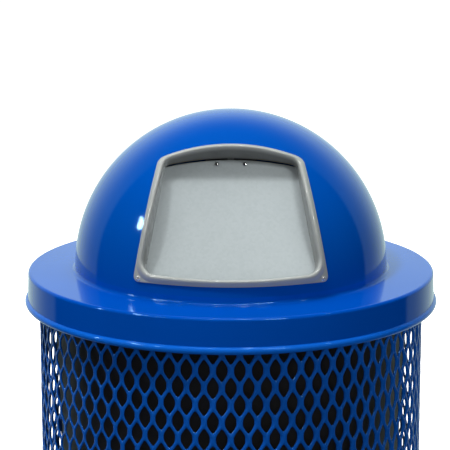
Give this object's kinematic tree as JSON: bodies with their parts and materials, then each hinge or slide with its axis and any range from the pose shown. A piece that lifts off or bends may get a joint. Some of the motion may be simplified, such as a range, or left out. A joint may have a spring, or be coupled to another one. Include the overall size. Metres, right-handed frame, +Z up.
{
  "type": "book drop box",
  "caption": "Round expanded-metal receptacle with a domed lid, a tilted push door in a raised bezel, and a lift-out liner.",
  "frame": {"origin": "on the floor, under the centre of the round body, at the feet's underside", "axes": "+Z up, the drop door faces -Y, +X to the right seen from the front"},
  "size_m": [0.6574, 0.6574, 1.0929],
  "materials": {
    "blue_powder_coat": "glossy royal-blue powder coat over spun and rolled steel",
    "blue_mesh_coating": "thick glossy blue thermoplastic coating over expanded steel",
    "grey_bezel": "glossy grey coating on a pressed frame",
    "galvanised_steel": "galvanised sheet with a fine, low spangle",
    "rivet_metal": "bright polished rivet heads",
    "zinc_steel": "zinc-plated steel",
    "spring_steel": "oiled spring wire",
    "rubber": "matte black moulded rubber",
    "black_plastic": "satin black moulded plastic"
  },
  "bodies": {
    "receptacle": {"mesh_wall": "blue_mesh_coating", "top_ring": "blue_powder_coat", "bottom_ring": "blue_powder_coat", "wall_stays": "blue_powder_coat", "seam_strip": "blue_powder_coat", "base_plate": "blue_powder_coat", "liner_rests": "rubber", "feet": "rubber", "foot_bolts": "zinc_steel", "foot_washers": "zinc_steel", "foot_nuts": "zinc_steel"},
    "lid": {"dome_shell": "blue_powder_coat", "lid_rim": "blue_powder_coat", "door_bezel": "grey_bezel", "bezel_rivets": "rivet_metal", "hinge_frame_leaf": "zinc_steel", "hinge_pin": "zinc_steel", "lid_locating_tabs": "blue_powder_coat"},
    "door": {"door_panel": "galvanised_steel", "hinge_door_leaf": "zinc_steel", "door_rivets": "rivet_metal", "closer_spring": "spring_steel"},
    "liner": {"liner_shell": "black_plastic"}
  },
  "joints": [
    {"name": "lid_lift", "type": "slide", "parent": "receptacle", "child": "lid", "axis": [0, 0, 1], "range_m": [0, 1]},
    {"name": "liner_lift", "type": "slide", "parent": "receptacle", "child": "liner", "axis": [0, 0, 1], "range_m": [0, 0.8]},
    {"name": "door_swing", "type": "hinge", "parent": "lid", "child": "door", "pos_m": [0, -0.09279, 1.03349], "axis": [1, 0, 0], "range_deg": [0, 70], "stiffness_Nm_per_rad": 0.25, "springref_deg": -91.67}
  ],
  "couplings": [
    {"joint": "liner_lift", "follows": "lid_lift", "ratio": 0.8}
  ]
}
